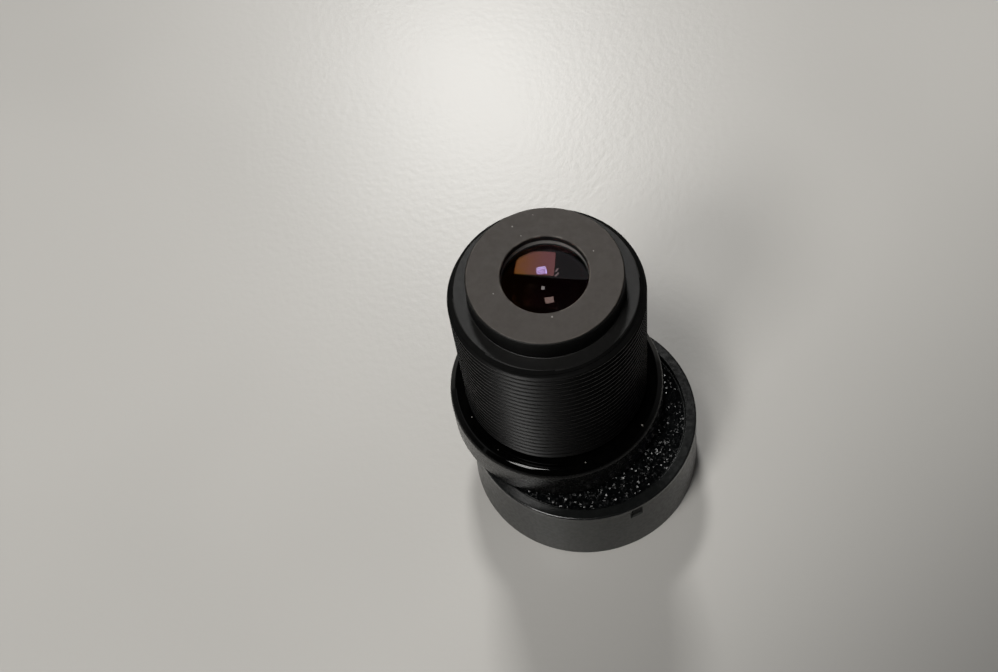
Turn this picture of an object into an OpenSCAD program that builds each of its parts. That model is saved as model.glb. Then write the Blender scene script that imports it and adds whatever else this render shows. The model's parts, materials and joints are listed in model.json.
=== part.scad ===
// M12 board camera lens, standing head down on its own dust cap.
// Millimetres, +Z up. The origin is the centre of the cap's mouth, on the
// surface that the cap stands on. Heights inside the lens are measured from
// the front face of its head, which rests on the cap's rim.

/* [Placement] */
// Sideways offset of the lens axis from the cap axis
lens_x = -1.45; // [-1.8:0.05:1.8]
// Fore-and-aft offset of the lens axis from the cap axis
lens_y = 1.55; // [-1.8:0.05:1.8]

/* [Dust cap] */
// Height of the cap, mouth to rim
cap_h = 5.4; // [4.6:0.1:8]
// Thickness of the cap's wall at its mouth
cap_wall = 0.6; // [0.5:0.05:1.2]
// Moulding draft of the side: how much further in the rim is than the mouth
cap_draft = 0.15; // [0.05:0.05:0.3]
// Width of the raised rim on top of the cap
cap_rim_w = 0.72; // [0.5:0.02:1]
// Depth of the textured recess inside the rim
cap_recess_d = 0.25; // [0.15:0.05:0.5]
// Thickness of the cap's roof below the recess
cap_roof_t = 1; // [0.6:0.1:1.6]
// Rounding of the rim's outer edge
cap_edge_r = 0.15; // [0.05:0.05:0.3]

/* [Moulding gate mark] */
// Bearing of the clipped gate on the cap's side, in degrees from +X
gate_bearing = -72.5; // [-180:0.5:180]
// Width of the clipped gate
gate_w = 0.64; // [0.3:0.02:1.2]
// Height of the clipped gate
gate_h = 0.95; // [0.5:0.05:1.6]
// How deep the gate is clipped into the side
gate_depth = 0.12; // [0.05:0.01:0.25]
// Distance from the rim down to the clipped gate
gate_drop = 0.3; // [0.2:0.05:1]

/* [Barrel outside] */
// Length of the lens, head face to rear face
lens_len = 16.15; // [16:0.05:20]
// Diameter of the head
head_d = 14.1; // [13.6:0.1:14.2]
// Length of the head
head_len = 3; // [2:0.1:4]
// Rounding of the head's back edge
head_round_r = 0.45; // [0.1:0.05:0.8]
// Bevel of the head's front edge
head_bevel = 0.15; // [0.05:0.05:0.4]
// Outer diameter of the M12 x 0.5 mounting thread
thread_d = 12; // [11.8:0.02:12.1]
// Pitch of the thread, drawn as a ring groove at each turn
thread_pitch = 0.5; // [0.35:0.05:1]
// Depth of the thread's grooves
thread_depth = 0.3; // [0.2:0.02:0.5]
// Width of the land left on each crest
crest_w = 0.06; // [0.04:0.02:0.12]
// Depth of the relief groove where the thread meets the head
relief_depth = 0.3; // [0.2:0.02:0.4]
// Width of the relief groove
relief_w = 0.4; // [0.2:0.05:0.8]
// Lead-in chamfer at the thread's rear end
lead_in = 0.46; // [0.2:0.02:0.6]
// Diameter of the rear snout
snout_d = 9.48; // [9:0.04:10]
// Length of the rear snout
snout_len = 1.55; // [1:0.05:2.4]
// Chamfer round the rear face
snout_chamfer = 0.1; // [0.04:0.02:0.25]

/* [Rear opening] */
// Diameter of the opening in the rear face
opening_d = 5.26; // [5.1:0.02:6]
// Depth of the opening down to its ledge
opening_depth = 0.8; // [0.4:0.05:1]
// How far the ledge stands in from the wall of the opening
ledge_w = 0.03; // [0.02:0.01:0.3]
// Thickness of the ledge that the rear element seats on
ledge_t = 0.1; // [0.1:0.05:0.7]

/* [Front opening] */
// Width of the flat face round the cone in the head's front
face_w = 0.85; // [0.6:0.05:1.2]
// Depth of the cone
cone_depth = 1.3; // [0.8:0.05:1.4]
// Width of the step between the foot of the cone and the front chamber
cone_step_w = 0.38; // [0.1:0.02:0.5]

/* [Rear elements] */
// Diameter of the four elements in the rear chamber
element_d = 6.8; // [6.5:0.05:7]
// Radius of the rear element's back surface
rear_back_r = 8; // [6:0.1:12]
// Radius of the rear element's front surface
rear_front_r = 17; // [12:0.5:30]
// Centre thickness of the rear element
rear_t = 2.25; // [2:0.05:2.6]
// Radius of the doublet's back surface
doublet_back_r = 8; // [7:0.5:14]
// Radius of the cemented surface inside the doublet
cement_r = 6.5; // [6:0.1:9]
// Radius of the doublet's hollow front surface
doublet_front_r = 9; // [7:0.5:20]
// Centre thickness of the doublet's rear glass
doublet_rear_t = 2.1; // [2:0.05:2.4]
// Centre thickness of the doublet's front glass
doublet_front_t = 0.8; // [0.5:0.05:1]

/* [Front elements] */
// Radius of the second element's back surface
second_back_r = 7; // [6:0.1:12]
// Radius of the second element's front surface
second_front_r = 15; // [12:0.5:30]
// Centre thickness of the second element
second_t = 1.95; // [1.8:0.05:2.2]
// Diameter of the front element
front_d = 9.8; // [9.4:0.05:9.9]
// Radius of the front element's hollow back surface
front_back_r = 4.5; // [4.2:0.1:7]
// Width of the flat rim round that hollow
front_rim_w = 1.3; // [1.1:0.05:1.6]
// Radius of the front element's front surface
front_front_r = 12; // [10:0.5:20]
// Centre thickness of the front element
front_t = 0.9; // [0.6:0.05:1.1]

/* [Spacers and stop] */
// Wall thickness of the spacers between the elements
spacer_wall = 0.6; // [0.45:0.05:0.8]
// Length of the spacer between the rear element and the doublet
rear_spacer_len = 1.1; // [1.05:0.05:1.4]
// Length of the spacer between the stop and the second element
middle_spacer_len = 1.3; // [1.1:0.05:1.5]
// Length of the stepped spacer behind the front element
front_spacer_len = 2.3; // [2.1:0.05:2.5]
// Thickness of that spacer's flange, which is opened out as a cone
flange_t = 0.9; // [0.6:0.05:1.2]
// Thickness of the aperture stop's foil
stop_t = 0.1; // [0.05:0.01:0.2]
// Diameter of the hole in the aperture stop
stop_hole_d = 2.8; // [1.6:0.1:4]

/* [Front retaining ring] */
// Length of the retaining ring
retainer_len = 1.2; // [0.8:0.05:1.3]
// Wall thickness of the retaining ring
retainer_wall = 0.6; // [0.5:0.05:0.8]
// Width of the two spanner slots
slot_w = 1; // [0.6:0.05:1.4]
// Depth of the two spanner slots
slot_depth = 0.5; // [0.3:0.05:0.6]

/* [Clearances] */
// Gap all round between the cap's bore and the head that it covers
cap_fit = 0.05; // [0.02:0.01:0.08]
// Gap all round between the elements or spacers and their chamber
element_fit = 0.02; // [0.01:0.01:0.05]
// Gap between a curved glass surface and the ring that it seats on
seat_gap = 0.01; // [0.01:0.01:0.03]
// Thickness of the cement film in the doublet
cement_t = 0.01; // [0.01:0.01:0.03]
// Gap between the front spacer's flange and the step of the bore
step_gap = 0.05; // [0.02:0.01:0.2]

/* [Hidden] */
$fn = 96;
eps = 0.01; // overshoot of cutting solids

// Depth of a spherical surface of radius r at the distance d / 2 from its axis
function sag(r, d) = r - sqrt(r * r - d * d / 4);

// Cap: its bore is the head's diameter with clearance
cap_bore_d = head_d + 2 * cap_fit;
cap_base_r = cap_bore_d / 2 + cap_wall;
cap_rim_r = cap_base_r - cap_draft;
cap_floor_z = cap_h - cap_recess_d;
cap_bore_depth = cap_floor_z - cap_roof_t;
cap_recess_r = cap_rim_r - cap_rim_w;

// Barrel, measured from the head's front face
shoulder_z = lens_len - snout_len;
thread_start_z = head_len + relief_w;
thread_end_z = shoulder_z - lead_in;
groove_count = floor((thread_end_z - thread_start_z) / thread_pitch);
opening_floor_z = lens_len - opening_depth;
ledge_z = opening_floor_z - ledge_t;
ledge_hole_d = opening_d - 2 * ledge_w;
relief_d = thread_d - 2 * relief_depth;
chamber_d = element_d + 2 * element_fit;
front_chamber_d = front_d + 2 * element_fit;
cone_d = head_d - 2 * face_w;
cone_foot_d = front_chamber_d + 2 * cone_step_w;

// Clear diameters of the rings and of the front element's hollow
spacer_hole_d = element_d - 2 * spacer_wall;
front_hollow_d = front_d - 2 * front_rim_w;
retainer_hole_d = front_d - 2 * retainer_wall;

// Optical stack, worked down from the ledge to the front retaining ring.
// A vertex is where a glass surface crosses the lens axis.
rear_back_v = ledge_z + sag(rear_back_r, ledge_hole_d) - seat_gap;
rear_front_v = rear_back_v - rear_t;
rear_spacer_top = rear_front_v + sag(rear_front_r, spacer_hole_d) - seat_gap;
rear_spacer_z = rear_spacer_top - rear_spacer_len;
doublet_back_v = rear_spacer_z + sag(doublet_back_r, spacer_hole_d) - seat_gap;
cement_back_v = doublet_back_v - doublet_rear_t;
cement_front_v = cement_back_v - cement_t;
doublet_front_v = cement_front_v - doublet_front_t;
doublet_z = doublet_front_v - sag(doublet_front_r, spacer_hole_d);
stop_z = doublet_z - stop_t;
middle_spacer_z = stop_z - middle_spacer_len;
second_back_v = middle_spacer_z + sag(second_back_r, spacer_hole_d) - seat_gap;
second_front_v = second_back_v - second_t;
front_spacer_top = second_front_v + sag(second_front_r, spacer_hole_d) - seat_gap;
front_spacer_z = front_spacer_top - front_spacer_len;
flange_z = front_spacer_z + flange_t;
step_z = flange_z + step_gap;
front_back_v = front_spacer_z - sag(front_back_r, front_hollow_d);
front_front_v = front_back_v - front_t;
retainer_top = front_front_v + sag(front_front_r, retainer_hole_d) - seat_gap;
retainer_z = retainer_top - retainer_len;

// Puts its children on the lens axis, with z = 0 at the head's front face
module in_lens() {
    translate([lens_x, lens_y, cap_h]) children();
}

// Plain ring of outer diameter d, hole diameter hole_d and length len, on z = 0
module ring(d, hole_d, len) {
    difference() {
        cylinder(d = d, h = len);
        translate([0, 0, -eps]) cylinder(d = hole_d, h = len + 2 * eps);
    }
}

// Cylindrical cut from z0 up to z1
module bore(d, z0, z1) {
    translate([0, 0, z0]) cylinder(d = d, h = z1 - z0);
}

// Glass disc of diameter d, from z0 to z1, before its surfaces are ground
module blank(d, z0, z1) {
    translate([0, 0, z0]) cylinder(d = d, h = z1 - z0);
}

// Ball whose top is at z: the glass below a surface that bulges to the rear
module ball_below(r, z) {
    translate([0, 0, z - r]) sphere(r = r, $fn = 192);
}

// Ball whose bottom is at z: the glass above a surface that bulges to the front
module ball_above(r, z) {
    translate([0, 0, z + r]) sphere(r = r, $fn = 192);
}

// Section of the cap's outside: drafted side, rounded rim, recess inside the rim
module cap_section() {
    edge_x = cap_rim_r - cap_edge_r;
    edge_z = cap_h - cap_edge_r;
    polygon([[0, 0], [cap_base_r, 0], [cap_rim_r, edge_z], [edge_x, edge_z], [edge_x, cap_h],
        [cap_recess_r, cap_h], [cap_recess_r, cap_floor_z], [0, cap_floor_z]]);
    translate([edge_x, edge_z]) circle(r = cap_edge_r, $fn = 32);
}

// One moulding, mouth down, with the clipped gate below its rim
module lens_cap() {
    gate_top = cap_h - gate_drop;
    side_r = cap_rim_r + cap_draft * gate_drop / cap_h;
    color([0.07, 0.07, 0.07]) difference() {
        rotate_extrude() cap_section();
        bore(cap_bore_d, -eps, cap_bore_depth);
        rotate([0, 0, gate_bearing]) translate([side_r - gate_depth, -gate_w / 2, gate_top - gate_h])
            cube([gate_depth + cap_wall, gate_w, gate_h]);
    }
}

// Corners of the thread's section, three to each groove
function thread_corners(crest_r) = [for (i = [0 : groove_count - 1],
    p = [[0, crest_w / 2], [thread_depth, thread_pitch / 2], [0, thread_pitch - crest_w / 2]])
    [crest_r - p[0], thread_start_z + i * thread_pitch + p[1]]];

// Section of the barrel's outside: head, relief groove, thread, shoulder, snout
module barrel_section() {
    head_r = head_d / 2;
    round_x = head_r - head_round_r;
    round_z = head_len - head_round_r;
    relief_r = relief_d / 2;
    thread_r = thread_d / 2;
    snout_r = snout_d / 2;
    head = [[0, 0], [head_r - head_bevel, 0], [head_r, head_bevel], [head_r, round_z],
        [round_x, round_z], [round_x, head_len], [relief_r, head_len], [relief_r, thread_start_z],
        [thread_r, thread_start_z]];
    rear = [[thread_r, thread_end_z], [thread_r - lead_in, shoulder_z], [snout_r, shoulder_z],
        [snout_r, lens_len - snout_chamfer], [snout_r - snout_chamfer, lens_len], [0, lens_len]];
    polygon(concat(head, thread_corners(thread_r), rear));
    translate([round_x, round_z]) circle(r = head_round_r, $fn = 48);
}

// Everything that is bored out of the barrel
module barrel_bore() {
    bore(opening_d, opening_floor_z, lens_len + eps);
    bore(ledge_hole_d, ledge_z - eps, opening_floor_z + eps);
    bore(chamber_d, step_z - eps, ledge_z);
    bore(front_chamber_d, cone_depth - eps, step_z);
    translate([0, 0, -eps]) cylinder(d1 = cone_d, d2 = cone_foot_d, h = cone_depth + eps);
}

// Turned from one bar: head, thread and snout
module lens_barrel() {
    color([0.16, 0.155, 0.15]) in_lens() difference() {
        rotate_extrude() barrel_section();
        barrel_bore();
    }
}

// Screws in behind the front opening and clamps the whole stack
module front_retainer() {
    color([0.1, 0.1, 0.1]) in_lens() translate([0, 0, retainer_z]) difference() {
        ring(front_d, retainer_hole_d, retainer_len);
        translate([-front_d, -slot_w / 2, -eps]) cube([2 * front_d, slot_w, slot_depth + eps]);
    }
}

// Meniscus with its bulging face to the front
module front_element() {
    color([0.3, 0.36, 0.4, 0.5]) in_lens() difference() {
        intersection() {
            blank(front_d, front_front_v, front_spacer_z);
            ball_above(front_front_r, front_front_v);
        }
        ball_above(front_back_r, front_back_v);
    }
}

// Stepped spacer: its flange backs the front element, its hub holds the second
module front_spacer() {
    color([0.12, 0.12, 0.12]) in_lens() translate([0, 0, front_spacer_z]) difference() {
        union() {
            cylinder(d = front_d, h = flange_t);
            cylinder(d = element_d, h = front_spacer_len);
        }
        cylinder(d1 = front_hollow_d, d2 = spacer_hole_d, h = flange_t);
        translate([0, 0, -eps]) cylinder(d = spacer_hole_d, h = front_spacer_len + 2 * eps);
    }
}

// Second element from the front, bulging on both sides
module second_element() {
    color([0.3, 0.36, 0.4, 0.5]) in_lens() intersection() {
        blank(element_d, second_front_v, second_back_v);
        ball_below(second_back_r, second_back_v);
        ball_above(second_front_r, second_front_v);
    }
}

// Ring between the aperture stop and the second element
module middle_spacer() {
    color([0.12, 0.12, 0.12]) in_lens() translate([0, 0, middle_spacer_z])
        ring(element_d, spacer_hole_d, middle_spacer_len);
}

// Blackened foil washer that limits the light
module aperture_stop() {
    color([0.05, 0.05, 0.05]) in_lens() translate([0, 0, stop_z])
        ring(element_d, stop_hole_d, stop_t);
}

// Front glass of the cemented doublet, hollow on both sides
module doublet_front() {
    color([0.3, 0.36, 0.4, 0.5]) in_lens() difference() {
        blank(element_d, doublet_z, cement_front_v + sag(cement_r, element_d));
        ball_above(cement_r, cement_front_v);
        ball_below(doublet_front_r, doublet_front_v);
    }
}

// Rear glass of the cemented doublet, bulging on both sides
module doublet_rear() {
    color([0.3, 0.36, 0.4, 0.5]) in_lens() intersection() {
        blank(element_d, cement_back_v, doublet_back_v);
        ball_below(doublet_back_r, doublet_back_v);
        ball_above(cement_r, cement_back_v);
    }
}

// Ring between the doublet and the rear element
module rear_spacer() {
    color([0.12, 0.12, 0.12]) in_lens() translate([0, 0, rear_spacer_z])
        ring(element_d, spacer_hole_d, rear_spacer_len);
}

// Rear element, whose back surface bulges up through the ledge's hole
module rear_element() {
    color([0.3, 0.36, 0.4, 0.5]) in_lens() intersection() {
        blank(element_d, rear_front_v, rear_back_v);
        ball_below(rear_back_r, rear_back_v);
        ball_above(rear_front_r, rear_front_v);
    }
}

lens_cap();
lens_barrel();
front_retainer();
front_element();
front_spacer();
second_element();
middle_spacer();
aperture_stop();
doublet_front();
doublet_rear();
rear_spacer();
rear_element();
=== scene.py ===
# %% [markdown]
# # A board lens parked on its dust cap
#
# The object is a small board lens: a turned black barrel with a fine thread, five ground
# glasses inside it, and a moulded cap. The lens stands head down on the cap, off its centre,
# so the small rear glass looks up.
#
# The solids come from CAD. This lesson dresses them, it does not move them. The first cell
# loads them as a fixed frame in metres and keeps the size of the whole object, so that we can
# show at the end that the dressed model is no bigger.

# %% Load the solids
import json
import math

import bmesh
import bpy
import numpy as np
from mathutils import Matrix, Vector


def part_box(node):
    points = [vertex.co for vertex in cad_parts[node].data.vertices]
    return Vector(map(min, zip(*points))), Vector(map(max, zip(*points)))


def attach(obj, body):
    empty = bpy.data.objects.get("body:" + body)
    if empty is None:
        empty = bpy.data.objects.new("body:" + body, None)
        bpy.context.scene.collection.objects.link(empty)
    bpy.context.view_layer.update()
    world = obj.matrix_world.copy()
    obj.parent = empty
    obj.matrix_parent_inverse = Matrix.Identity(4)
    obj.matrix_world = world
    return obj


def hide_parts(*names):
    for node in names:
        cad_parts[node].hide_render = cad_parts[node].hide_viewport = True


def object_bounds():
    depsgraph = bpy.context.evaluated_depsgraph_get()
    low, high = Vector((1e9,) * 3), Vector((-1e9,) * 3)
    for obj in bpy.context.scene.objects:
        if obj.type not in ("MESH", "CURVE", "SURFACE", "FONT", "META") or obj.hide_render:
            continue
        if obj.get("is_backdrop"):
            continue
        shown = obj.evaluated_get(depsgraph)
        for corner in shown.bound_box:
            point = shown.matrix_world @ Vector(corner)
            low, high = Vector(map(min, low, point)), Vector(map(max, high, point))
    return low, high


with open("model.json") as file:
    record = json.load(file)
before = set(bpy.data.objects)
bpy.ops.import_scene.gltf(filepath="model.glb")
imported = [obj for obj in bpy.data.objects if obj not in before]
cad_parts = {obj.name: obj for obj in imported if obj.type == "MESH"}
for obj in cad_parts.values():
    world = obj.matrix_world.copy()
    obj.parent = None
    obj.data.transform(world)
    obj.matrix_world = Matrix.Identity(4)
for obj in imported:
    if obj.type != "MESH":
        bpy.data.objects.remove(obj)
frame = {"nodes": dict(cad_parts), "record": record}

MM = 0.001
solids_box = [list(corner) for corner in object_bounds()]
print("solids, mm:", [[round(v / MM, 2) for v in corner] for corner in solids_box])

# %% [markdown]
# ## Read the sizes from the solids
#
# Every piece below is placed from the solids. A turned part is round, so half of its box is
# its radius and the middle of the box is its axis. A box can't tell the size of a thread or of
# a bore, but the record can: they are the dimensions of its mounts. All of this is read once,
# here. Radii and heights are in millimetres, and heights on the lens count from its head.

# %% Axis, radii and heights
barrel_low, barrel_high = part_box("lens_barrel")
cap_low, cap_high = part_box("lens_cap")
axis_x = (barrel_low.x + barrel_high.x) / 2
axis_y = (barrel_low.y + barrel_high.y) / 2
LENS_AXIS = Vector((axis_x, axis_y, 0))
head_z, top_z = barrel_low.z, barrel_high.z
head_r = (barrel_high.x - barrel_low.x) / 2 / MM
rear_h = (top_z - head_z) / MM
cap_r = (cap_high.x - cap_low.x) / 2 / MM
cap_h = cap_high.z / MM

mounts = {mount["name"]: mount["dims"] for mount in frame["record"]["mounts"]}
crest_r = mounts["lens_thread"]["r_mm"]
mouth_r, mouth_h = mounts["cap_mouth"]["r_mm"], mounts["cap_mouth"]["length_mm"]
print(f"lens axis {axis_x / MM:.2f}, {axis_y / MM:.2f} mm, head radius {head_r:.2f} mm")
print(f"thread radius {crest_r} mm, cap's mouth radius {mouth_r} mm and depth {mouth_h} mm")

# %% [markdown]
# ## The camera
#
# The camera looks down steeply, from in front and a little to the left, and it is rolled by
# about ten degrees, as a hand-held one is. A rotation matrix is the clearest way to say that:
# its columns are the camera's right, its up, and the reverse of where it looks.

# %% Camera
eye = Vector((-4.680, -45.921, 98.730)) * MM
look_down, roll = math.radians(60.385), math.radians(-9.673)
ahead = Vector((0, math.cos(look_down), -math.sin(look_down)))
level_right = Vector((1, 0, 0))
level_up = level_right.cross(ahead)
right = level_right * math.cos(roll) + level_up * math.sin(roll)
up = level_up * math.cos(roll) - level_right * math.sin(roll)
camera = bpy.data.objects.new("camera", bpy.data.cameras.new("camera"))
camera.data.sensor_width = 36
camera.data.lens = 55.753
camera.data.clip_start, camera.data.clip_end = 0.005, 20
camera.matrix_world = Matrix((right, up, -ahead)).transposed().to_4x4()
camera.matrix_world.translation = eye
bpy.context.scene.collection.objects.link(camera)
bpy.context.scene.camera = camera
bpy.context.scene.view_settings.view_transform = "Standard"
print(f"camera {(eye - LENS_AXIS).length / MM:.0f} mm from the lens, lens {camera.data.lens} mm")

# %% [markdown]
# ## Helpers for node trees
#
# All finishes here are built from nodes. These few helpers add a node, set its sockets and
# wire it up in one line, so that a finish reads as a short recipe. Lengths in a recipe are in
# millimetres: `grain(0.3)` is the texture scale whose features are about 0.3 mm across.


# %% Add and wire nodes
def grain(size_mm):
    return 1 / (size_mm * MM)


def wire(tree, plug, value):
    """Links an output to an input, or sets it. Three numbers in a colour make an opaque one."""
    if isinstance(value, bpy.types.NodeSocket):
        tree.links.new(value, plug)
    else:
        plug.default_value = (*value, 1) if plug.type == "RGBA" else value


def node(tree, kind, settings=(), **sockets):
    """Adds a node. A socket is named with _ for a space, or i and its number."""
    made = tree.nodes.new(kind)
    for key, value in dict(settings).items():
        setattr(made, key, value)
    for key, value in sockets.items():
        numbered = key[0] == "i" and key[1:].isdigit()
        wire(tree, made.inputs[int(key[1:]) if numbered else key.replace("_", " ")], value)
    return made


def math_node(tree, operation, *values):
    made = node(tree, "ShaderNodeMath", {"operation": operation})
    for plug, value in zip(made.inputs, values):
        wire(tree, plug, value)
    return made.outputs[0]


def vector_node(tree, operation, *values):
    made = node(tree, "ShaderNodeVectorMath", {"operation": operation})
    for plug, value in zip(made.inputs, values):
        wire(tree, plug, value)
    return made.outputs["Value" if operation in ("LENGTH", "DOT_PRODUCT") else "Vector"]


def xyz(tree, vector):
    return node(tree, "ShaderNodeSeparateXYZ", Vector=vector).outputs


def fade(tree, value, low, high, to_low=0.0, to_high=1.0, smooth=True):
    """Maps low..high of a value to to_low..to_high and holds it there outside."""
    made = node(tree, "ShaderNodeMapRange", Value=value, From_Min=low, From_Max=high,
                To_Min=to_low, To_Max=to_high)
    made.interpolation_type = "SMOOTHSTEP" if smooth else "LINEAR"
    return made.outputs["Result"]


def mix_colour(tree, amount, first, second):
    return node(tree, "ShaderNodeMix", {"data_type": "RGBA"},
                i0=amount, i6=first, i7=second).outputs[2]


print("a grain of 0.3 mm is a texture scale of", round(grain(0.3)))

# %% [markdown]
# ## Helpers for finishes
#
# A finish is a Principled shader with patterns wired into its colour, its roughness and its
# normal. The patterns sit in object coordinates, so they keep their real size and stay on the
# piece. A normal comes from layers of bump whose depth is given in millimetres. Noise lies
# mostly between 0.3 and 0.7, so a fade over a part of that range sets how hard its edges are.


# %% Patterns and relief
def new_finish(name):
    """An empty material with one Principled shader, ready for its recipe."""
    finish = bpy.data.materials.new(name)
    finish.use_nodes = True
    tree = finish.node_tree
    tree.nodes.clear()
    skin = node(tree, "ShaderNodeBsdfPrincipled")
    node(tree, "ShaderNodeOutputMaterial", Surface=skin.outputs[0])
    return finish, tree, skin


def own_place(tree, centre=(0, 0, 0)):
    """The point on the piece in the shared frame, measured from a centre."""
    own = node(tree, "ShaderNodeTexCoord").outputs["Object"]
    return node(tree, "ShaderNodeMapping", Vector=own, Location=[-v for v in centre]).outputs[0]


def from_axis(tree, place):
    """Distance of a point from the upright axis."""
    return vector_node(tree, "LENGTH", vector_node(tree, "MULTIPLY", place, (1, 1, 0)))


def noise(tree, place, size_mm, detail=3.0, roughness=0.5):
    return node(tree, "ShaderNodeTexNoise", Vector=place, Scale=grain(size_mm), Detail=detail,
                Roughness=roughness).outputs[0]


def relief(tree, skin, layers):
    """Chains bump layers of (height, depth in mm) into the shader's normal."""
    normal = None
    for height, depth_mm in layers:
        bump = node(tree, "ShaderNodeBump", Height=height, Strength=1.0, Distance=depth_mm * MM)
        if normal is not None:
            tree.links.new(normal, bump.inputs["Normal"])
        normal = bump.outputs[0]
    tree.links.new(normal, skin.inputs["Normal"])


print("recipes can use: place, distance from the axis, noise, relief")

# %% [markdown]
# ## The table
#
# A plain pale table with a soft sheen. It matters more than it seems: the walls of the cap and
# of the head are upright, so from above they reflect the table and not the lamps. To one side
# of the object it is a little darker, a painted shadow which gives those walls their shaded
# half. A slow gradient painted into the table's colour does that without another lamp.

# %% Table
PAINTED_SHADOW_SIDE = (0.588, -0.809, 0)
table_finish, tree, skin = new_finish("table_laminate")
place = own_place(tree)
cloudy = fade(tree, noise(tree, place, 40, 2), 0.35, 0.65)
laminate = mix_colour(tree, cloudy, (0.470, 0.460, 0.438), (0.500, 0.489, 0.466))
# Painted shadow: the table's colour darkens over a band to one side, then recovers.
away = vector_node(tree, "DOT_PRODUCT", place, PAINTED_SHADOW_SIDE)
darkens = fade(tree, away, 0.0, 0.042)
recovers = fade(tree, away, 0.06, 0.16, 1.0, 0.0)
dim = math_node(tree, "MULTIPLY", darkens, recovers)
wire(tree, skin.inputs["Base Color"], mix_colour(tree, dim, laminate, (0.14, 0.138, 0.133)))
skin.inputs["Roughness"].default_value = 0.29
skin.inputs["Specular IOR Level"].default_value = 0.46
relief(tree, skin, [(noise(tree, place, 0.5, 3), 0.01)])

plate = bpy.data.meshes.new("table")
half, level = 1.6, -0.00002
plate.from_pydata([(-half, -half, level), (half, -half, level), (half, half, level),
                   (-half, half, level)], [], [(0, 1, 2, 3)])
plate.materials.append(table_finish)
table = bpy.data.objects.new("table", plate)
bpy.context.scene.collection.objects.link(table)
table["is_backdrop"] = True
print("table", 2 * half, "m wide")

# %% [markdown]
# ## The light
#
# Gloss shows what is around it, so the lamps are placed by direction and by apparent size, as
# seen from the lens. A window stands behind it, half way up the sky. It is built twice: one
# panel only lights, and the other is only seen in gloss. On a real desk the room's light fills
# in around a window, and with one panel we would have to choose between a good shadow and a
# good sheen. Two lamps in front, to the left, draw the thin glint on the head, a dim panel
# lifts the left side, and a flat sheet overhead softens the shadows. The world is a pale wall
# that fades to a dark ceiling.


# %% A lamp by direction and apparent size
def area_lamp(name, wide, deep, brightness, colour, unseen_by):
    """A rectangle of light, sizes in metres. unseen_by names the kinds of ray that miss it.
    Its energy is its brightness times pi times its area, so that its size can change alone."""
    lamp = bpy.data.lights.new(name, "AREA")
    lamp.shape, lamp.size, lamp.size_y = "RECTANGLE", wide, deep
    lamp.energy = brightness * math.pi * lamp.size * lamp.size_y
    lamp.color = colour
    panel = bpy.data.objects.new(name, lamp)
    for ray in unseen_by:
        setattr(panel, "visible_" + ray, False)
    bpy.context.scene.collection.objects.link(panel)
    return panel


def aimed_lamp(name, azimuth, elevation, distance, wide, high, brightness, colour, unseen_by):
    """Faces the rear glass from a direction. Its width and height are angles in degrees."""
    a, e = math.radians(azimuth), math.radians(elevation)
    out = Vector((math.cos(e) * math.cos(a), math.cos(e) * math.sin(a), math.sin(e)))
    width = 2 * distance * math.tan(math.radians(wide / 2))
    height = 2 * distance * math.tan(math.radians(high / 2))
    panel = area_lamp(name, width, height, brightness, colour, unseen_by)
    panel.rotation_euler = out.to_track_quat("Z", "Y").to_euler()
    panel.location = LENS_AXIS + Vector((0, 0, top_z)) + out * distance


def flat_sheet(name, wide, deep, brightness, colour, unseen_by, at, turn):
    """Lies level above the table and shines down."""
    sheet = area_lamp(name, wide, deep, brightness, colour, unseen_by)
    sheet.location, sheet.rotation_euler = at, (0, 0, math.radians(turn))


print("a window 8 degrees wide and 1.2 m away is",
      round(2 * 1.2 * math.tan(math.radians(8 / 2)), 3), "m wide")

# %% Window, lamps and panels
DAY, WARM, WHITE = (1.0, 0.99, 0.97), (1.0, 0.985, 0.96), (1, 1, 1)
for row in (
        # name, azimuth, elevation, distance, width, height, brightness, colour, unseen by
        ("window_high", 90, 50, 1.2, 8, 7.5, 82, DAY, ("transmission", "glossy")),
        ("window_sheen", 89, 50, 1.2, 8, 7.5, 42, DAY, ("transmission", "diffuse")),
        ("lamp_front_left", -136, 45, 1.0, 16, 13, 17.6, WARM, ("transmission",)),
        ("lamp_high", -140, 68, 1.0, 14, 12, 21.5, WARM, ("transmission",)),
        ("panel_left", 172, 34, 1.3, 50, 30, 0.25, WHITE, ("transmission",))):
    aimed_lamp(*row)
flat_sheet("panel_overhead", 0.78, 0.55, 0.52, WHITE, ("glossy",), (0.17, -0.09, 1.02), -15)

# %% [markdown]
# ## What the glass sees
#
# A coated lens shows small coloured images of the room, one from each surface that the light
# gets to. They come through the rear glass, so they reach us by transmitted rays. A few dim
# cards are seen by such rays alone: the window again, a bright spot and a pair of bars beside
# it, and a large dim ceiling. So the images in the glass can be set without any change to the
# light on the barrel. The cards are tinted against the amber of the first coating.

# %% Gleams and ceiling
AQUA, IN_GLASS_ONLY = (0.60, 1.20, 1.20), ("diffuse", "glossy")
for row in (
        ("gleam_window", 89, 48.0, 0.9, 8, 7.5, 1.0, (0.70, 1.25, 1.12), IN_GLASS_ONLY),
        ("gleam_spot", 80.3, 62.8, 0.9, 3.0, 4.0, 1.0, (0.80, 2.00, 2.30), IN_GLASS_ONLY),
        ("gleam_pair_low", 127, 71.8, 0.9, 5.0, 1.6, 1.0, AQUA, IN_GLASS_ONLY),
        ("gleam_pair_high", 141, 74.8, 0.9, 5.0, 1.6, 1.0, AQUA, IN_GLASS_ONLY)):
    aimed_lamp(*row)
flat_sheet("gleam_ceiling", 2.2, 2.2, 1.0, (0.050, 0.135, 0.135), IN_GLASS_ONLY,
           (-0.75, -0.60, 1.12), -18)

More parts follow.
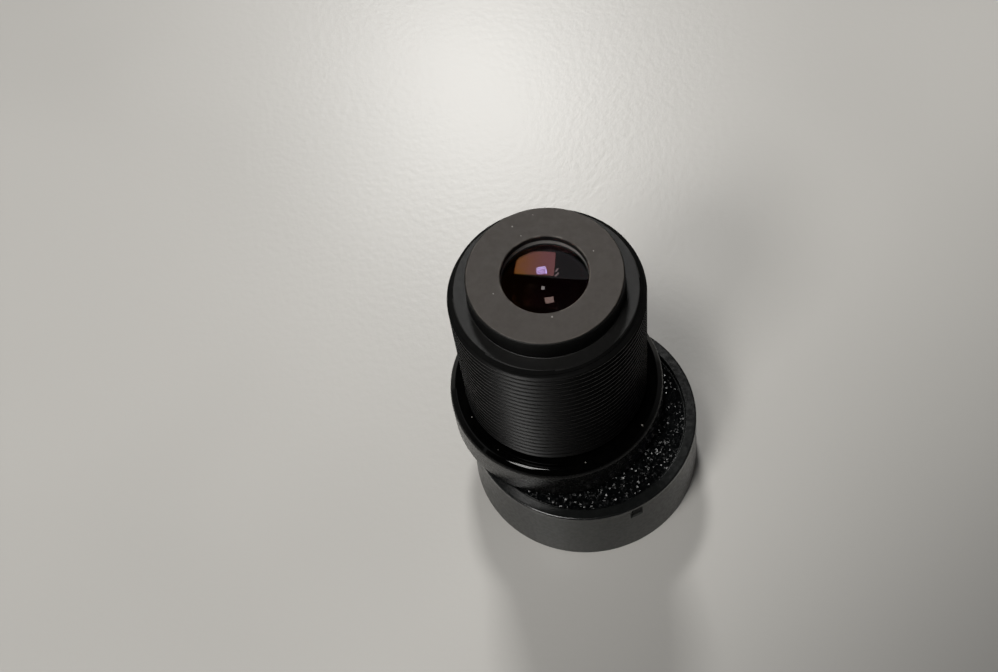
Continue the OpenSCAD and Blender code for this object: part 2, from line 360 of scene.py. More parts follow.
world = bpy.data.worlds.new("room")
bpy.context.scene.world = world
world.use_nodes = True
tree = world.node_tree
tree.nodes.clear()
height = xyz(tree, node(tree, "ShaderNodeTexCoord").outputs["Generated"])[2]
wall = fade(tree, height, 0.10, 0.40, 0.12, 0.006)
sky = node(tree, "ShaderNodeBackground", Color=WARM, Strength=wall)
node(tree, "ShaderNodeOutputWorld", Surface=sky.outputs[0])
print("lights and gleams:", len(bpy.data.lights))

# %% [markdown]
# ## Turning on a lathe
#
# The barrel, the cap and the glasses are all round, so one helper makes them: an outline of
# radius and height, swept about an axis. Real turned edges are never knife sharp, so each
# corner of an outline carries a small radius, and `softened` replaces it with a short arc.
# Two support points beside every arc keep the flats flat under smooth shading.


# %% Soft corners
def softened(corners, steps=5, support=0.02):
    """Corners are (radius, height, edge radius) in mm. Gives the open, rounded outline in mm."""
    outline = []
    for i, (r, z, edge) in enumerate(corners):
        here = Vector((r, z))
        if i in (0, len(corners) - 1) or edge == 0:
            outline.append(here)
            continue
        to_last = Vector(corners[i - 1][:2]) - here
        to_next = Vector(corners[i + 1][:2]) - here
        turn = to_last.angle(to_next)
        back = min(edge / math.tan(turn / 2), 0.45 * to_last.length, 0.45 * to_next.length)
        radius = back * math.tan(turn / 2)
        start, end = here + to_last.normalized() * back, here + to_next.normalized() * back
        inward = (to_last.normalized() + to_next.normalized()).normalized()
        middle = here + inward * (radius / math.sin(turn / 2))
        room = min(support, 0.2 * to_last.length)
        outline.append(start + to_last.normalized() * room)
        first = math.atan2(*(start - middle).yx)
        sweep = math.remainder(math.atan2(*(end - middle).yx) - first, 2 * math.pi)
        for k in range(steps + 1):
            a = first + sweep * k / steps
            outline.append(middle + Vector((math.cos(a), math.sin(a))) * radius)
        room = min(support, 0.2 * to_next.length)
        outline.append(end + to_next.normalized() * room)
    return [(p.x, p.y) for p in outline]


print("a square corner becomes", len(softened([(1, 0, 0), (2, 0, 0.1), (2, 1, 0)])) - 2, "points")

# %% [markdown]
# ## From outline to piece
#
# Sweeping gives a bmesh with one ring of points for each point of the outline. A point on the
# axis stays single, so that the faces round it are triangles and no face has zero area. The
# second helper welds doubles, turns the normals outward, picks a finish for each face by its
# place, and marks the edges that stay sharp.


# %% Sweep and finish
def turned(outline, centre, base_z, facets):
    """Sweeps an outline in mm about the upright axis through centre, and gives a bmesh."""
    angles = np.arange(facets) * 2 * math.pi / facets
    cosine, sine = np.cos(angles), np.sin(angles)
    made, rings = bmesh.new(), []
    for r, z in outline:
        height = base_z + z * MM
        if abs(r) < 1e-9:
            rings.append([made.verts.new((centre.x, centre.y, height))])
        else:
            rings.append([made.verts.new((centre.x + r * MM * c, centre.y + r * MM * s, height))
                          for c, s in zip(cosine, sine)])
    for low, high in zip(rings, rings[1:]):
        for j in range(facets):
            k = (j + 1) % facets
            loop = [low[j % len(low)], low[k % len(low)], high[k % len(high)], high[j % len(high)]]
            made.faces.new([v for i, v in enumerate(loop) if v not in loop[:i]])
    return made


def finished_piece(name, made, finishes, pick, sharp):
    """Turns a bmesh into a smooth object. pick(centre, normal) gives a face its finish's number."""
    bmesh.ops.remove_doubles(made, verts=made.verts, dist=0.0004 * MM)
    bmesh.ops.recalc_face_normals(made, faces=made.faces)
    mesh = bpy.data.meshes.new(name)
    for face in made.faces:
        face.smooth = True
        face.material_index = pick(face.calc_center_median(), face.normal)
    made.to_mesh(mesh)
    made.free()
    mesh.set_sharp_from_angle(angle=math.radians(sharp))
    for finish in finishes:
        mesh.materials.append(finish)
    piece = bpy.data.objects.new(name, mesh)
    bpy.context.scene.collection.objects.link(piece)
    print(name, sum(len(p.vertices) - 2 for p in mesh.polygons), "triangles")
    return piece


def stands_for(piece, node_name):
    """Rides on the one body, and hides the CAD node that it stands for."""
    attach(piece, "root")
    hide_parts(node_name)


BARREL_FACETS, CAP_FACETS, GLASS_FACETS = 192, 384, 160
print("facets round the barrel, the cap and a glass:", BARREL_FACETS, CAP_FACETS, GLASS_FACETS)

# %% [markdown]
# ## The thread, cut by Geometry Nodes
#
# The barrel's main surface follows a rule: a groove of constant section that climbs one pitch
# a turn. A helix swept with a profile would overlap itself at the ends. Here a flat grid is
# rolled up instead: each of its rows climbs one pitch as it goes round, so the last column
# lands on the first, one row group higher, and merging closes the seam. Below the relief
# groove and above the shoulder the grid is gathered into plain rings, and the lead-in cone
# trims the crests, as on a real lathe, where the cone is turned before the thread is cut.
#
# The cap's texture is made in the same way, so the first and the last nodes of such a tree are
# helpers: a rolled grid at the start, and at the end the weld, the realized mesh and its finish.

# %% Start and end of a tree
WELD = 0.0008 * MM


def open_tree(name, floats, others):
    """A Geometry Nodes tree with named inputs. Gives it and its input sockets."""
    tree = bpy.data.node_groups.new(name, "GeometryNodeTree")
    tree.interface.new_socket("Geometry", in_out="OUTPUT", socket_type="NodeSocketGeometry")
    for key in floats:
        tree.interface.new_socket(key, in_out="INPUT", socket_type="NodeSocketFloat")
    for key, kind in others.items():
        tree.interface.new_socket(key, in_out="INPUT", socket_type="NodeSocket" + kind)
    return tree, tree.nodes.new("NodeGroupInput").outputs


def rolled_grid(tree, columns, rows):
    """A unit grid, and for each of its points the share of a turn and of its rise, 0 to 1."""
    grid = node(tree, "GeometryNodeMeshGrid", Size_X=1.0, Size_Y=1.0, Vertices_X=columns,
                Vertices_Y=rows).outputs["Mesh"]
    corner = xyz(tree, node(tree, "GeometryNodeInputPosition").outputs[0])
    return (grid, math_node(tree, "ADD", corner[0], 0.5), math_node(tree, "ADD", corner[1], 0.5))


def close_tree(tree, grid, place, finish):
    """Moves the grid's points, welds its seam, and ends in one real mesh with its finish."""
    moved = node(tree, "GeometryNodeSetPosition", Geometry=grid, Position=place)
    closed = node(tree, "GeometryNodeMergeByDistance", Geometry=moved.outputs[0], Distance=WELD)
    single = node(tree, "GeometryNodeRealizeInstances", Geometry=closed.outputs[0])
    dressed = node(tree, "GeometryNodeSetMaterial", Geometry=single.outputs[0], Material=finish)
    tree.links.new(dressed.outputs[0], tree.nodes.new("NodeGroupOutput").inputs[0])


print("points closer than", WELD / MM, "mm are welded")

# %% Thread tree
ROWS_PER_PITCH = 8
CREST_HALF, ROOT_START = 0.0625, 0.4375  # the flank runs between them, as shares of the pitch


def thread_tree():
    tree, get = open_tree("cut_thread", ("Pitch", "Crest Radius", "Depth", "Bottom", "Top",
                                         "Lead In", "Relief Radius"),
                          {"Rows": "Int", "Axis": "Vector", "Finish": "Material"})
    pitch, crest, bottom, top = get["Pitch"], get["Crest Radius"], get["Bottom"], get["Top"]
    grid, turn, rise = rolled_grid(tree, BARREL_FACETS + 1, get["Rows"])

    def do(operation, *values):
        return math_node(tree, operation, *values)

    # Height of a grid point, then gathered at the ends
    step = do("DIVIDE", pitch, ROWS_PER_PITCH)
    climbed = do("MULTIPLY", do("MULTIPLY", rise, do("SUBTRACT", get["Rows"], 1.0)), step)
    base = do("SUBTRACT", bottom, do("MULTIPLY", pitch, 1.5))
    free_z = do("ADD", do("ADD", base, climbed), do("MULTIPLY", turn, pitch))
    z = do("MINIMUM", do("MAXIMUM", free_z, bottom), top)

    # Distance from the nearest crest, as a share of the pitch, gives the depth
    back = do("SUBTRACT", z, do("MULTIPLY", turn, pitch))
    turns_up = do("DIVIDE", do("SUBTRACT", back, base), pitch)
    phase = do("SUBTRACT", turns_up, 0.5 / ROWS_PER_PITCH)
    off_crest = do("ABSOLUTE", do("SUBTRACT", phase, do("ROUND", phase)))
    flank = fade(tree, off_crest, CREST_HALF, ROOT_START, smooth=False)
    cut = do("SUBTRACT", crest, do("MULTIPLY", flank, get["Depth"]))
    cone = do("SUBTRACT", do("ADD", crest, do("SUBTRACT", top, z)), get["Lead In"])
    below = do("LESS_THAN", free_z, do("SUBTRACT", bottom, step))
    radius = node(tree, "ShaderNodeMix", i0=below, i2=do("MINIMUM", cut, cone),
                  i3=get["Relief Radius"]).outputs[0]

    angle = do("MULTIPLY", turn, 2 * math.pi)
    rolled = node(tree, "ShaderNodeCombineXYZ", X=do("MULTIPLY", radius, do("COSINE", angle)),
                  Y=do("MULTIPLY", radius, do("SINE", angle)), Z=z).outputs[0]
    close_tree(tree, grid, vector_node(tree, "ADD", rolled, get["Axis"]), get["Finish"])
    return tree


cut_thread = thread_tree()
print("thread tree:", len(cut_thread.nodes), "nodes")

# %% [markdown]
# ## Growing a tree into a plain mesh
#
# A modifier holds the tree's inputs under identifiers, not under the names that we see, so a
# small dictionary looks them up. The result is copied out as a plain mesh and the carrier is
# removed: later steps can then weld it to other pieces.


# %% Run a tree
def grown(tree, name, inputs):
    carrier = bpy.data.objects.new(name, bpy.data.meshes.new(name))
    bpy.context.scene.collection.objects.link(carrier)
    modifier = carrier.modifiers.new(name, "NODES")
    modifier.node_group = tree
    for item in tree.interface.items_tree:
        if item.item_type == "SOCKET" and item.in_out == "INPUT":
            modifier[item.identifier] = inputs[item.name]
    bpy.context.view_layer.update()
    scene_now = bpy.context.evaluated_depsgraph_get()
    mesh = bpy.data.meshes.new_from_object(carrier.evaluated_get(scene_now))
    bpy.data.objects.remove(carrier)
    print(name, "has", len(mesh.polygons), "faces")
    return mesh


# %% [markdown]
# ## Black anodised finishes
#
# The barrel is one piece of aluminium with one black skin, but each surface was left by the
# lathe in its own way: the thread and the snout are satin with fine turning marks, the head's
# back is burnished to a mirror, and the flat rear face is matt and a little brown. So the
# barrel gets several finishes, and each face of the mesh picks its own. Turning marks are
# bands in height on a wall, and rings about the axis on a face. Both are only bump, a fraction
# of a micrometre deep, which is what a real turned surface has. A few sharp nicks show bare
# metal where the lens has been handled. On the head's back the same pale specks are also
# painted glints, standing in for sparkle along its edge.


# %% Turning marks and nicks
SPIN = (axis_x, axis_y, 0)
# Pale bare metal for worn specks, also used on the head as painted glints.
BARE_METAL_AND_GLINT = (0.20, 0.19, 0.175)


def rings_across(tree, place, spacing_mm):
    """Fine turning marks on a face: rings round the lens axis. The wave repeats each 2 pi / 20."""
    return node(tree, "ShaderNodeTexWave", {"wave_type": "RINGS", "rings_direction": "Z"},
                Vector=place, Scale=2 * math.pi / (20 * spacing_mm * MM), Distortion=1.5,
                Detail=2.0, Detail_Scale=0.4).outputs[1]


def rings_along(tree, place, spacing_mm):
    """Fine turning marks on a wall: steps in height, a little uneven."""
    return node(tree, "ShaderNodeTexNoise", {"noise_dimensions": "1D"}, W=xyz(tree, place)[2],
                Scale=grain(spacing_mm), Detail=2.0).outputs[0]


def nicks_and_glints(tree, place, spacing_mm, share):
    """A few small specks, 1 inside them: bare-metal wear, and on the head painted glints.
    They sit in the given share of cells of that spacing.
    """
    cells = node(tree, "ShaderNodeTexVoronoi", Vector=place, Scale=grain(spacing_mm)).outputs
    picked = node(tree, "ShaderNodeSeparateColor", Color=cells["Color"]).outputs[0]
    ragged = math_node(tree, "MULTIPLY", noise(tree, place, 0.06, 2), 0.20)
    inside = fade(tree, math_node(tree, "ADD", cells["Distance"], ragged), 0.20, 0.26, 1.0, 0.0)
    return math_node(tree, "MULTIPLY", inside, fade(tree, picked, 1 - share, 1.01 - share))


def anodised(name, dark, light, rough, marks_mm, depth_mm, mottle_mm=0.6, specular=0.5,
             turn="along", chips_and_glints=0.0):
    """A black oxide skin: two tones in patches, turning marks, orange peel, and a few pale
    specks: bare-metal wear, and on the head painted glints.
    """
    finish, tree, skin = new_finish(name)
    place = own_place(tree, SPIN)
    patches = fade(tree, noise(tree, place, mottle_mm, 4, 0.6), 0.35, 0.68)
    tone = mix_colour(tree, patches, dark, light)
    if chips_and_glints:
        tone = mix_colour(tree, nicks_and_glints(tree, place, 0.45, chips_and_glints), tone, BARE_METAL_AND_GLINT)
    wire(tree, skin.inputs["Base Color"], tone)
    wire(tree, skin.inputs["Roughness"],
         fade(tree, noise(tree, place, 0.35, 3), 0.3, 0.7, rough * 0.95, rough * 1.05))
    skin.inputs["Specular IOR Level"].default_value = specular
    marks = (rings_along if turn == "along" else rings_across)(tree, place, marks_mm)
    relief(tree, skin, [(marks, depth_mm), (noise(tree, place, 0.05, 2), depth_mm * 0.4)])
    return finish, tree, skin, place


print("anodised skins are turned about", [round(v / MM, 2) for v in SPIN], "mm")

# %% [markdown]
# ## One finish for each turned surface
#
# The thread shines on its crests only, because its grooves hold dust and oil, and its lead-in
# cone is dull. So its roughness follows the distance from the axis and the height. Where the
# rear face meets the opening and the outer chamfer, the black has rubbed off in patches, and
# the same patches are painted lighter as a painted edge highlight. Just inside the opening a
# narrow band has a pale colour.

# %% Thread and rear face
CREST_ROUGH, DULL_ROUGH = 0.31, 0.85
# A light brown for rubbed wear, which also serves as a painted edge highlight.
RUBBED_AND_HIGHLIT = (0.085, 0.073, 0.062)

thread_finish, tree, skin, place = anodised(
    "thread_satin", (0.0014, 0.0014, 0.0014), (0.0024, 0.0024, 0.0023), CREST_ROUGH,
    0.05, 0.0002, specular=0.12)
groove = fade(tree, from_axis(tree, place), 5.80 * MM, 5.93 * MM, DULL_ROUGH, CREST_ROUGH)
cone = fade(tree, xyz(tree, place)[2], head_z + 13.95 * MM, head_z + 14.35 * MM, 0.0, DULL_ROUGH)
wire(tree, skin.inputs["Roughness"], math_node(tree, "MAXIMUM", groove, cone))

face_finish, tree, skin, place = anodised(
    "rear_face_matt", (0.0300, 0.0238, 0.0192), (0.0340, 0.0272, 0.0220), 0.54,
    0.12, 0.0004, mottle_mm=0.25, specular=0.52, turn="across", chips_and_glints=0.14)
radius = from_axis(tree, place)
# Lighter patches at the opening and the outer chamfer: rubbed wear, and a painted edge highlight.
edges = math_node(tree, "MAXIMUM", fade(tree, radius, 2.64 * MM, 2.78 * MM, 1.0, 0.0),
                  fade(tree, radius, 4.56 * MM, 4.68 * MM, 0.0, 0.8))
worn_and_highlit = math_node(tree, "MULTIPLY", edges, fade(tree, noise(tree, place, 0.8, 3), 0.40, 0.62))
tone = skin.inputs["Base Color"].links[0].from_socket
wire(tree, skin.inputs["Base Color"], mix_colour(tree, worn_and_highlit, tone, RUBBED_AND_HIGHLIT))
print("thread crests have roughness", CREST_ROUGH, "and its grooves", DULL_ROUGH)

# %% Head, shoulder, snout and bore
# On the head's back the pale bare-metal specks are also painted glints, standing in for sparkle
# along its edge.
head_finish = anodised(
    "head_burnished", (0.0005, 0.0005, 0.0005), (0.0010, 0.0010, 0.0009), 0.06,
    0.25, 0.00003, specular=0.30, turn="across", chips_and_glints=0.12)[0]
side_finish = anodised(
    "head_side_gloss", (0.003, 0.003, 0.003), (0.005, 0.005, 0.0047), 0.27,
    0.08, 0.0003, specular=0.25)[0]
shoulder_finish = anodised(
    "shoulder_satin", (0.0035, 0.0034, 0.0032), (0.0050, 0.0048, 0.0045), 0.47,
    0.12, 0.0003, mottle_mm=0.25, specular=0.36, turn="across")[0]
snout_finish = anodised(
    "snout_satin", (0.001, 0.001, 0.001), (0.002, 0.002, 0.002), 0.35,
    0.05, 0.0003, specular=0.1)[0]
bore_finish = anodised(
    "bore_blackened", (0.006, 0.006, 0.006), (0.012, 0.012, 0.011), 0.40, 0.10, 0.0030)[0]
band_finish = anodised(
    "bore_bright_band", (0.20, 0.194, 0.185), (0.28, 0.271, 0.26), 0.35, 0.04, 0.0010)[0]
print("finishes:", len(bpy.data.materials))

# %% [markdown]
# ## The barrel
#
# One open outline holds the shoulder, the snout, the stepped opening, the bore that carries
# the glass, and the head with its relief groove. The thread goes between its two ends, the
# rings at the relief and at the shoulder, and the doubles there are merged into one skin.

# %% Grow the thread
PITCH, THREAD_DEPTH, LEAD_IN = 0.5, 0.30, 0.46
head_h, relief_h, shoulder_h = 3.0, 3.4, 14.6
relief_r = crest_r - THREAD_DEPTH
rings_of_thread = math.ceil((shoulder_h - relief_h) / PITCH) + 3
thread_mesh = grown(cut_thread, "thread", {
    "Pitch": PITCH * MM, "Crest Radius": crest_r * MM, "Depth": THREAD_DEPTH * MM,
    "Bottom": head_z + relief_h * MM, "Top": head_z + shoulder_h * MM, "Lead In": LEAD_IN * MM,
    "Relief Radius": relief_r * MM, "Rows": rings_of_thread * ROWS_PER_PITCH + 1,
    "Axis": SPIN, "Finish": thread_finish})

# %% Turn the barrel and join the thread
snout_r, opening_r, ledge_r, bore_r, front_bore_r = 4.74, 2.63, 2.60, 3.42, 4.92
ledge_h, band_low, band_high = 15.35, 15.38, 15.70
step_h = (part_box("front_spacer")[0].z - head_z) / MM + 0.95
barrel_outline = softened([
    (crest_r - LEAD_IN, shoulder_h, 0), (snout_r, shoulder_h, 0.06),
    (snout_r, rear_h - 0.1, 0.06), (snout_r - 0.1, rear_h, 0.03),
    (opening_r + 0.05, rear_h, 0.03), (opening_r, rear_h - 0.05, 0.02),
    (opening_r, band_high, 0), (opening_r, band_low, 0), (opening_r, ledge_h, 0.01),
    (ledge_r, ledge_h, 0.01), (ledge_r, ledge_h - 0.1, 0.01), (bore_r, ledge_h - 0.1, 0.02),
    (bore_r, step_h, 0.03), (front_bore_r, step_h, 0.03),
    (front_bore_r, 1.30, 0.03), (5.30, 1.30, 0.03), (6.20, 0.0, 0.06),
    (head_r - 0.15, 0.0, 0.08), (head_r, 0.15, 0.08), (head_r, 2.60, 0.30), (6.62, head_h, 0.30),
    (relief_r, head_h, 0.05), (relief_r, relief_h, 0)])
barrel = turned(barrel_outline, LENS_AXIS, head_z, BARREL_FACETS)
barrel.from_mesh(thread_mesh)
print("outline:", len(barrel_outline), "points, barrel and thread:", len(barrel.faces), "faces")

# %% Choose each face's finish
THREAD, HEAD_BACK, HEAD_SIDE, REAR_FACE, SHOULDER, SNOUT, BORE, BAND = range(8)


def barrel_surface(at, normal):
    r = math.hypot(at.x - axis_x, at.y - axis_y) / MM
    h = (at.z - head_z) / MM
    if r < opening_r + 0.01 and band_low < h < band_high:
        return BAND
    if h > rear_h - 0.03 and r > 2.635 or h > rear_h - 0.07 and 2.635 < r < 2.7:
        return REAR_FACE
    if r < 4.9 and (r < 2.7 or h < 14.0) or h < 1.4 and r < 6.3:
        return BORE
    if h > shoulder_h - 0.05:
        return SHOULDER if normal.z > 0.7 else SNOUT
    if h > relief_h - 0.02:
        return THREAD
    return HEAD_BACK if h > 2.70 else HEAD_SIDE


barrel_piece = finished_piece(
    "barrel_turned", barrel, [thread_finish, head_finish, side_finish, face_finish,
                              shoulder_finish, snout_finish, bore_finish, band_finish],
    barrel_surface, sharp=28)
stands_for(barrel_piece, "lens_barrel")

# %% [markdown]
# ## The cap's plastic
#
# The cap is one injection moulding in black plastic. Its side and rim come from a polished
# cavity, and the sunken top from a spark-eroded one, which leaves a coarse pebble of craters
# with glossy facets. Each facet leans its own way, so some of them flash: a cell pattern whose
# random colour bends the normal does that. The moulding was cut from its runner, and the cut
# left a small torn, dull patch in the side.


# %% Cap plastic
def plastic(name, patches, dark, light, gloss_mm, gloss, specular):
    """Black moulded plastic: two tones by a pattern, and a gloss that varies a little."""
    finish, tree, skin = new_finish(name)
    place = own_place(tree)
    wire(tree, skin.inputs["Base Color"], mix_colour(tree, patches(tree, place), dark, light))
    wire(tree, skin.inputs["Roughness"],
         fade(tree, noise(tree, place, gloss_mm, 3), 0.3, 0.7, *gloss))
    skin.inputs["Specular IOR Level"].default_value = specular
    return finish, tree, skin, place


def cloudy_patches(size_mm):
    return lambda tree, place: fade(tree, noise(tree, place, size_mm, 4, 0.6), 0.35, 0.65)


side_plastic, tree, skin, place = plastic(
    "cap_plastic_satin", cloudy_patches(0.9), (0.0195, 0.0205, 0.019),
    (0.0225, 0.0235, 0.0217), 0.25, (0.30, 0.40), 0.32)
relief(tree, skin, [(noise(tree, place, 0.12, 3), 0.0008), (noise(tree, place, 0.9, 2), 0.004)])

rim_plastic, tree, skin, place = plastic(
    "cap_plastic_rim", cloudy_patches(0.5), (0.006, 0.0065, 0.0065),
    (0.0085, 0.0092, 0.0090), 0.3, (0.15, 0.22), 0.52)
relief(tree, skin, [(noise(tree, place, 0.10, 3), 0.0015)])

scar_plastic, tree, skin, place = plastic(
    "cap_gate_scar", lambda tree, place: noise(tree, place, 0.15, 3), (0.0010, 0.0010, 0.0010),
    (0.0050, 0.0050, 0.0048), 0.08, (0.45, 0.65), 0.1)
relief(tree, skin, [(noise(tree, place, 0.10, 3), 0.02)])

pebble_plastic, tree, skin, place = plastic(
    "cap_plastic_pebble", cloudy_patches(0.4), (0.0012, 0.0014, 0.0016),
    (0.0022, 0.0026, 0.0029), 0.10, (0.18, 0.26), 0.27)
craters = node(tree, "ShaderNodeTexVoronoi", Vector=place, Scale=grain(0.11)).outputs["Color"]
centred = vector_node(tree, "SUBTRACT", craters, (0.5, 0.5, 0.5))
lean = vector_node(tree, "MULTIPLY", centred, (1.5, 1.5, 0.3))
facing = node(tree, "ShaderNodeNewGeometry").outputs["Normal"]
leaning = vector_node(tree, "NORMALIZE", vector_node(tree, "ADD", facing, lean))
wire(tree, skin.inputs["Normal"], leaning)
print("the cap has finishes for its side, its rim, its gate mark and its pebble")

# %% [markdown]
# ## The pebble, by a second tree
#
# Bump alone leaves a flat outline where the recess is seen at a low angle, so the pebble is
# real relief too. The tree rolls a grid into a disc and lifts it by a cell pattern and a finer
# noise, with the grain, the height and the seed as named inputs. Towards the wall of the
# recess the relief fades out, so that the disc meets the turned part of the cap exactly.


# %% Pebble tree
def pebble_tree():
    tree, get = open_tree("spark_pebble", ("Radius", "Level", "Grain", "Height"),
                          {"Seed": "Int", "Rings": "Int", "Finish": "Material"})
    grid, turn, share = rolled_grid(tree, CAP_FACETS + 1, get["Rings"])

    def do(operation, *values):
        return math_node(tree, operation, *values)

    angle = do("MULTIPLY", turn, 2 * math.pi)
    radius = do("MULTIPLY", share, get["Radius"])
    x = do("MULTIPLY", radius, do("COSINE", angle))
    y = do("MULTIPLY", radius, do("SINE", angle))
    flat = node(tree, "ShaderNodeCombineXYZ", X=x, Y=y).outputs[0]
    shift = node(tree, "ShaderNodeCombineXYZ", Z=do("MULTIPLY", get["Seed"], 0.001)).outputs[0]
    spot = vector_node(tree, "ADD", flat, shift)
    size = do("DIVIDE", 1.0, get["Grain"])
    cells = node(tree, "ShaderNodeTexVoronoi", {"feature": "SMOOTH_F1"}, Vector=spot,
                 Scale=size, Smoothness=0.6).outputs["Distance"]
    waves = node(tree, "ShaderNodeTexNoise", Vector=spot, Scale=do("MULTIPLY", size, 1.7),
                 Detail=2.0).outputs[0]
    bumps = do("ADD", do("MULTIPLY", cells, 0.6), do("MULTIPLY", waves, 0.8))
    rim = fade(tree, share, 0.972, 0.998, 1.0, 0.0)
    lift = do("MULTIPLY", do("MULTIPLY", bumps, get["Height"]), rim)
    z = do("ADD", get["Level"], lift)
    placed = node(tree, "ShaderNodeCombineXYZ", X=x, Y=y, Z=z).outputs[0]
    close_tree(tree, grid, placed, get["Finish"])
    return tree


recess_r, recess_h = 6.83, 5.15
pebble_r = recess_r - 0.10
pebble_mesh = grown(pebble_tree(), "pebble", {
    "Radius": pebble_r * MM, "Level": recess_h * MM, "Grain": 0.22 * MM, "Height": 0.080 * MM,
    "Seed": 4, "Rings": 74, "Finish": pebble_plastic})

# %% [markdown]
# ## Moulding the cap
#
# The cap is turned like the barrel, with a wall that leans in by its draft, the small slope
# that lets a moulding leave its mould. Then the few points of the wall where the gate was cut
# are pushed in. The wall has extra rings there, so that the notch gets crisp edges.

# %% Turn the cap
DRAFT, GATE_DROP, GATE_H, GATE_DEPTH = 0.15, 0.3, 0.95, 0.12
GATE_HALF_W, GATE_AT = 0.34, math.radians(-72.5)
gate_high = cap_h - GATE_DROP
gate_low = gate_high - GATE_H
wall_heights = [0.10, 1.4, 2.7, gate_low - 0.06, gate_low, gate_low + 0.06, gate_low + 0.3,
                gate_low + 0.6, gate_high - 0.06, gate_high, gate_high + 0.06]
wall = [(cap_r - DRAFT * h / cap_h, h, 0) for h in wall_heights]
cap_outline = softened([
    (0, mouth_h, 0), (mouth_r, mouth_h, 0.12), (mouth_r, 0.0, 0.05), (cap_r, 0.0, 0.05), *wall,
    (cap_r - DRAFT, cap_h, 0.16), (recess_r, cap_h, 0.07), (recess_r, recess_h, 0.06),
    (pebble_r, recess_h, 0)])
cap = turned(cap_outline, Vector((0, 0, 0)), 0, CAP_FACETS)
print("outline:", len(cap_outline), "points, gate mark from", round(gate_low, 2), "to",
      round(gate_high, 2), "mm")


# %% Cut the gate mark
def in_gate(at, margin_w, margin_h):
    """Whether a point is in the gate's patch of the outer wall, give or take the margins."""
    r, h = math.hypot(at.x, at.y) / MM, at.z / MM
    sideways = (math.atan2(at.y, at.x) - GATE_AT) * r
    return (r > 7.4 and abs(sideways) < GATE_HALF_W + margin_w
            and gate_low - margin_h < h < gate_high + margin_h)


pushed = [vert for vert in cap.verts if in_gate(vert.co, 0, 0.01)]
for vert in pushed:
    nearer = 1 - GATE_DEPTH * MM / math.hypot(vert.co.x, vert.co.y)
    vert.co.x *= nearer
    vert.co.y *= nearer
cap.from_mesh(pebble_mesh)
print("points pushed in at the gate:", len(pushed))

# %% Choose the cap's finishes
SIDE, RIM, PEBBLE, SCAR = range(4)


def cap_surface(at, normal):
    if in_gate(at, 0.02, 0.03):
        return SCAR
    h = at.z / MM
    if h > 5.0 and math.hypot(at.x, at.y) / MM < pebble_r + 0.01:
        return PEBBLE
    return RIM if h > cap_h - 0.28 else SIDE


cap_piece = finished_piece("cap_moulded", cap, [side_plastic, rim_plastic, pebble_plastic,
                                                scar_plastic], cap_surface, sharp=42)
stands_for(cap_piece, "lens_cap")

# %% [markdown]
# ## Coated glass
#
# Bare glass mirrors a twentieth of the light at each surface. A coating a fraction of a wave
# thick kills most of that, and what is left is coloured. The glass shader's specular tint does
# the same in one number: a dark tint leaves a weak, coloured mirror image. The rear glass's
# inner side mirrors more, and from amber to pink, because its coating is not even. So it gets a
# small share of metal whose colour drifts across, and which stops short of the rim.


# %% Coatings
def coated(name, tint, index=1.6, transmission=1.0, mirror=0.0, colours=()):
    """Glass with a tinted plain reflection, and a share of coloured mirror if it has colours."""
    finish, tree, skin = new_finish(name)
    place = own_place(tree, SPIN)
    skin.inputs["Transmission Weight"].default_value = transmission
    skin.inputs["IOR"].default_value = index
    skin.inputs["Specular Tint"].default_value = (*tint, 1)
    if colours:
        wire(tree, skin.inputs["Metallic"],
             fade(tree, from_axis(tree, place), 2.45 * MM, 2.60 * MM, mirror, 0.0))
        uneven = math_node(tree, "SUBTRACT", noise(tree, place, 1.2, 2), 0.5)
        across = math_node(tree, "ADD", xyz(tree, place)[0],
                           math_node(tree, "MULTIPLY", uneven, 1.6 * MM))
        drift = fade(tree, across, -1.7 * MM, 0.6 * MM)
        wire(tree, skin.inputs["Base Color"], mix_colour(tree, drift, *colours))
    wire(tree, skin.inputs["Roughness"],
         fade(tree, noise(tree, place, 0.2, 4, 0.7), 0.6, 0.8, 0.0, 0.03))
    return finish


AMBER, PINK = (1.0, 0.34, 0.06), (0.93, 0.34, 0.36)
rim_ground = coated("rim_ground", (0.2, 0.2, 0.2), transmission=0.0)
violet = coated("coating_violet", (0.028, 0.004, 0.110))
amber = coated("coating_amber", (0.10, 0.06, 0.02), mirror=0.28, colours=(AMBER, PINK))
green = coated("coating_green", (0.012, 0.020, 0.015))
clear = coated("coating_clear", (0.008, 0.008, 0.010), index=1.7)
print("coatings:", [m.name for m in bpy.data.materials if m.name.startswith("coating_")])

# %% [markdown]
# ## The glasses
#
# Each glass is ground to parts of spheres, so its outline is two arcs and a rim. The CAD mesh
# has facets, and facets break up a mirror image, so every glass is lathed again, smooth, on
# the same vertices. The rim is ground and lets no light through. The heights come from each
# node's box: a surface that bulges outward touches the box at its middle, and a hollow one at
# its rim, so there the depth of the arc, its sag, is allowed for.


# %% Arcs and glasses
def sag(radius, r):
    return abs(radius) - math.sqrt(radius * radius - r * r)


def arc(radius, vertex, reach, steps=28):
    """Points from the axis out to reach. A positive radius curves up and away from its vertex."""
    shares = [reach * k / steps for k in range(steps + 1)]
    return [(r, vertex + math.copysign(sag(radius, r), radius)) for r in shares]


def heights(node_name):
    low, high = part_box(node_name)
    return (low.z - head_z) / MM, (high.z - head_z) / MM


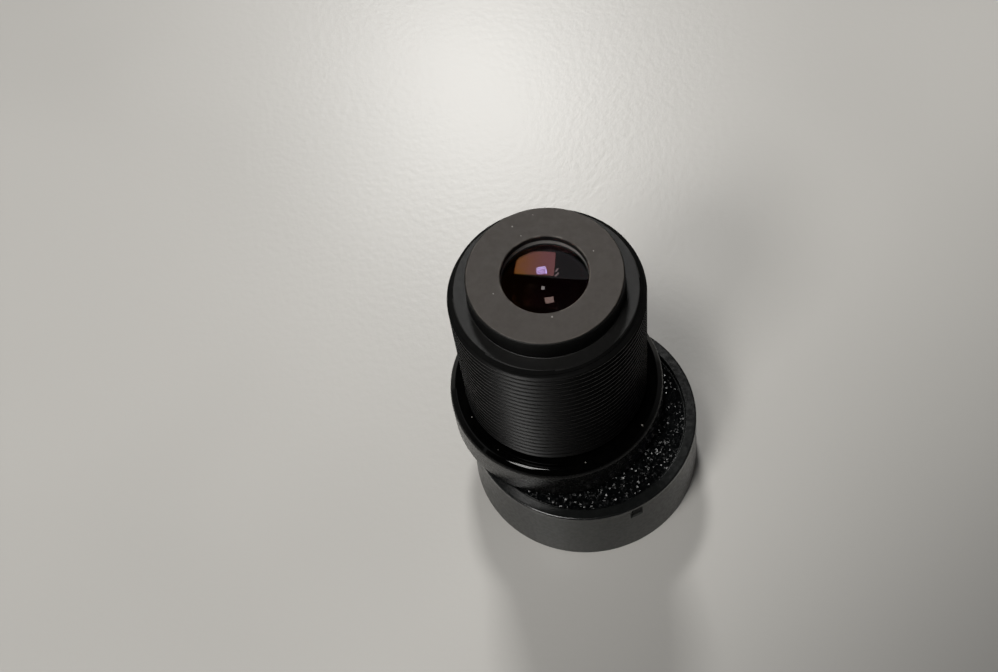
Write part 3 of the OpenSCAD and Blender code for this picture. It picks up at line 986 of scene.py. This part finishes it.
def glass(name, node_name, finishes, front, back):
    """front and back are the (radius, height of the vertex, reach) of its two surfaces in mm.
    finishes are those of its front, of its back, and of its ground rim."""
    low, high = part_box(node_name)
    edge = (high.x - low.x) / 2 / MM
    lower, upper = arc(*front), arc(*back)
    outline = lower + [(edge, lower[-1][1]), (edge, upper[-1][1])] + upper[::-1]

    def surface(at, normal):
        if math.hypot(normal.x, normal.y) > 0.9:
            return 2
        return 0 if normal.z < 0 else 1

    made = turned(outline, LENS_AXIS, head_z, GLASS_FACETS)
    stands_for(finished_piece(name, made, finishes, surface, sharp=20), node_name)


print("a sphere of 8 mm is", round(sag(8, 3.4), 3), "mm lower at the rim than in its middle")

# %% The five glasses, from the rear to the front
SMALL_REACH, WIDE_REACH = 3.399, 4.899  # a hair inside the rims, so that each rim has an edge
low, high = heights("rear_element")
glass("glass_rear", "rear_element", [amber, violet, rim_ground],
      (17, low, SMALL_REACH), (-8, high, SMALL_REACH))
low, high = heights("doublet_rear")
glass("glass_doublet_rear", "doublet_rear", [clear, green, rim_ground],
      (6.5, low, SMALL_REACH), (-8, high, SMALL_REACH))
low, high = heights("doublet_front")
glass("glass_doublet_front", "doublet_front", [green, clear, rim_ground],
      (-9, low + sag(9, 2.8), 2.8), (6.5, high - sag(6.5, 3.4), SMALL_REACH))
low, high = heights("second_element")
glass("glass_second", "second_element", [green, green, rim_ground],
      (15, low, SMALL_REACH), (-7, high, SMALL_REACH))
low, high = heights("front_element")
glass("glass_front", "front_element", [green, green, rim_ground],
      (12, low, WIDE_REACH), (4.5, high - sag(4.5, 3.6), 3.6))

# %% [markdown]
# ## Rings and foil inside
#
# The spacers, the retaining ring and the stop keep their CAD meshes, because their shapes are
# already right. They only need their finishes: blackened metal with fine turning grooves that
# kill stray light, and a thin dull foil for the stop.

# %% Blackened rings and the stop
ring_finish = anodised("ring_blackened", (0.100, 0.104, 0.100), (0.130, 0.134, 0.130), 0.55,
                       0.12, 0.004)[0]
foil_finish = anodised("stop_foil_dull", (0.003, 0.003, 0.003), (0.007, 0.0068, 0.0065), 0.55,
                       0.10, 0.002, turn="across")[0]
KEPT = {"front_retainer": ring_finish, "front_spacer": ring_finish, "middle_spacer": ring_finish,
        "rear_spacer": ring_finish, "aperture_stop": foil_finish}
for name, finish in KEPT.items():
    solid = frame["nodes"][name]
    if not solid.material_slots:
        solid.data.materials.append(finish)
    for slot in solid.material_slots:
        slot.material = finish
print("kept solids dressed:", len(KEPT))

# %% [markdown]
# ## Check the size and finish
#
# The dressed model must stay inside the box of the solids. The last cell prints how far it
# passes that box.

# %% Finish
dressed_box = [list(corner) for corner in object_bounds()]
over = max(max(s - d for s, d in zip(solids_box[0], dressed_box[0])),
           max(d - s for s, d in zip(solids_box[1], dressed_box[1])))
print(f"dressed model passes the solids' box by {over / MM:.4f} mm")
